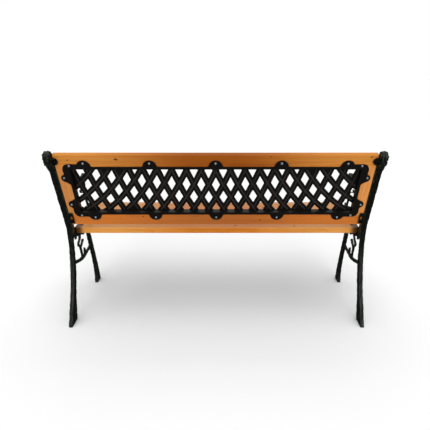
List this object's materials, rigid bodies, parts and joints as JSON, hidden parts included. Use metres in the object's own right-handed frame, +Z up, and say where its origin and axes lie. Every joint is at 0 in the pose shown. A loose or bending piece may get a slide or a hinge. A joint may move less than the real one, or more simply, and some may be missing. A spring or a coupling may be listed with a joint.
{
  "type": "garden bench",
  "caption": "Garden bench with two ornamental iron ends, a slatted wooden seat and a wooden back frame around a moulded diamond lattice.",
  "frame": {"origin": "on the ground, under the middle of the bench's bounding box", "axes": "+X to the right of someone who looks at the bench from the front, +Y from the front to the back, +Z up"},
  "size_m": [1.264, 0.5126, 0.751],
  "materials": {
    "end_casting_left": "black enamel over rough casting, green cast on the ridges",
    "end_casting_right": "black enamel over rough casting, green cast on the ridges",
    "seat_slat_1": "glossy orange-brown varnish",
    "seat_slat_2": "glossy orange-brown varnish",
    "seat_slat_3": "glossy orange-brown varnish",
    "seat_slat_4": "glossy orange-brown varnish",
    "seat_slat_5": "glossy orange-brown varnish",
    "seat_strap": "black paint",
    "strap_screws": "zinc plated",
    "seat_bolts": "black coated steel",
    "seat_washers": "zinc plated",
    "seat_nuts": "zinc plated",
    "back_top_rail": "glossy orange-brown varnish",
    "back_bottom_rail": "glossy orange-brown varnish",
    "back_stile_left": "glossy orange-brown varnish",
    "back_stile_right": "glossy orange-brown varnish",
    "stile_dowels": "bare beech, hidden",
    "back_bolts": "black coated steel",
    "back_washers": "black coated steel",
    "back_nuts": "black coated steel",
    "lattice_panel": "black moulded plastic, satin",
    "panel_screws": "zinc plated"
  },
  "bodies": {
    "root": {"end_casting_left": "end_casting_left", "end_casting_right": "end_casting_right", "seat_slat_1": "seat_slat_1", "seat_slat_2": "seat_slat_2", "seat_slat_3": "seat_slat_3", "seat_slat_4": "seat_slat_4", "seat_slat_5": "seat_slat_5", "seat_strap": "seat_strap", "strap_screws": "strap_screws", "seat_bolts": "seat_bolts", "seat_washers": "seat_washers", "seat_nuts": "seat_nuts", "back_top_rail": "back_top_rail", "back_bottom_rail": "back_bottom_rail", "back_stile_left": "back_stile_left", "back_stile_right": "back_stile_right", "stile_dowels": "stile_dowels", "back_bolts": "back_bolts", "back_washers": "back_washers", "back_nuts": "back_nuts", "lattice_panel": "lattice_panel", "panel_screws": "panel_screws"}
  },
  "joints": []
}
